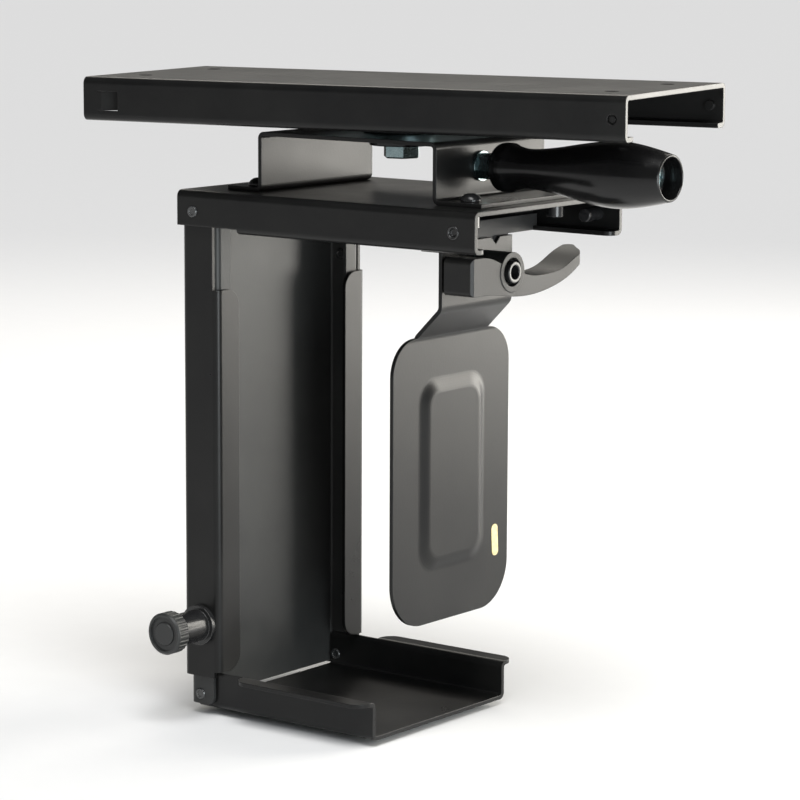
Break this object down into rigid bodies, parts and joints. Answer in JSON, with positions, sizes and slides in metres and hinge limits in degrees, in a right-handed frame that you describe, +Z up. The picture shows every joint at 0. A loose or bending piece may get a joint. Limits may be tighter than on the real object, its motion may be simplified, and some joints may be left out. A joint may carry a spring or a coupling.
{
  "type": "cpu holder",
  "caption": "Under-desk computer holder: ceiling track with sliding swivel carriage, telescoping upright with floor tray, sliding clamp paddle, cam lever and turning handle.",
  "frame": {"origin": "centre of the track's top face, which screws up against the underside of a desk; the swivel axis passes through it", "axes": "+X along the track, +Y towards the rear of the track, +Z up; the holder below the swivel rests turned 10 degrees clockwise seen from above"},
  "size_m": [0.3615, 0.1792, 0.375],
  "materials": {
    "black_powder_coat": "satin",
    "dark_steel": "satin",
    "zinc_plate": "satin",
    "bare_steel": "satin",
    "nylon_black": "matte",
    "black_plastic": "semi-gloss",
    "foam_pad": "matte",
    "rubber_shoe": "matte",
    "gold_label": "satin"
  },
  "bodies": {
    "track": {"track_channel": "black_powder_coat"},
    "carriage": {"carriage_plate": "zinc_plate", "carriage_glide_front": "nylon_black", "carriage_glide_rear": "nylon_black", "swivel_spacer": "zinc_plate", "bearing_disc": "nylon_black", "swivel_bolt": "dark_steel", "swivel_lock_nut": "zinc_plate", "swivel_washer": "dark_steel"},
    "holder": {"swivel_bracket": "black_powder_coat", "bracket_rivets": "dark_steel", "upper_channel": "black_powder_coat", "clamp_stop_pins": "dark_steel", "corner_rivets": "dark_steel", "outer_upright": "black_powder_coat", "plunger_barrel": "dark_steel", "plunger_spring": "bare_steel", "handle_bolt": "zinc_plate", "handle_inner_nut": "zinc_plate", "handle_jam_nut": "zinc_plate", "handle_washer": "zinc_plate"},
    "plunger": {"plunger_pin": "bare_steel", "plunger_knob": "black_plastic", "plunger_cap": "black_plastic"},
    "handle": {"handle_grip": "black_plastic"},
    "lower": {"inner_upright": "black_powder_coat", "upright_stop_rivets": "dark_steel", "tray": "black_powder_coat", "tray_rivets": "dark_steel"},
    "clamp": {"clamp_slider": "nylon_black", "clamp_paddle": "black_powder_coat", "clamp_pad": "foam_pad", "paddle_label": "gold_label", "lever_pivot": "dark_steel", "lever_washer": "zinc_plate"},
    "lever": {"cam_lever": "black_powder_coat"},
    "brake": {"brake_pin": "bare_steel", "brake_shoe": "rubber_shoe"}
  },
  "joints": [
    {"name": "track_slide", "type": "slide", "parent": "track", "child": "carriage", "axis": [1, 0, 0], "range_m": [-0.099, 0.11]},
    {"name": "swivel", "type": "hinge", "parent": "carriage", "child": "holder", "pos_m": [0, 0, 0], "axis": [0, 0, 1], "continuous": true},
    {"name": "height_slide", "type": "slide", "parent": "holder", "child": "lower", "axis": [0, 0, -1], "range_m": [0, 0.22]},
    {"name": "plunger_pull", "type": "slide", "parent": "holder", "child": "plunger", "axis": [-0.1736, -0.9848, 0], "range_m": [0, 0.0055], "stiffness_N_per_m": 600, "springref_m": -0.004, "deforming": ["plunger_spring"]},
    {"name": "handle_turn", "type": "hinge", "parent": "holder", "child": "handle", "pos_m": [0.13614, -0.03416, -0.0456], "axis": [0.9848, -0.1736, 0], "continuous": true},
    {"name": "clamp_slide", "type": "slide", "parent": "holder", "child": "clamp", "axis": [0.9848, -0.1736, 0], "range_m": [-0.098, 0.033]},
    {"name": "lever_lock", "type": "hinge", "parent": "clamp", "child": "lever", "pos_m": [0.0674, -0.00935, -0.1062], "axis": [0.9848, -0.1736, 0], "range_deg": [-10, 0]},
    {"name": "brake_lift", "type": "slide", "parent": "clamp", "child": "brake", "axis": [0, 0, 1], "range_m": [0, 0.0051]}
  ],
  "couplings": [
    {"joint": "brake_lift", "follows": "lever_lock", "m_per_rad": -0.0292}
  ]
}
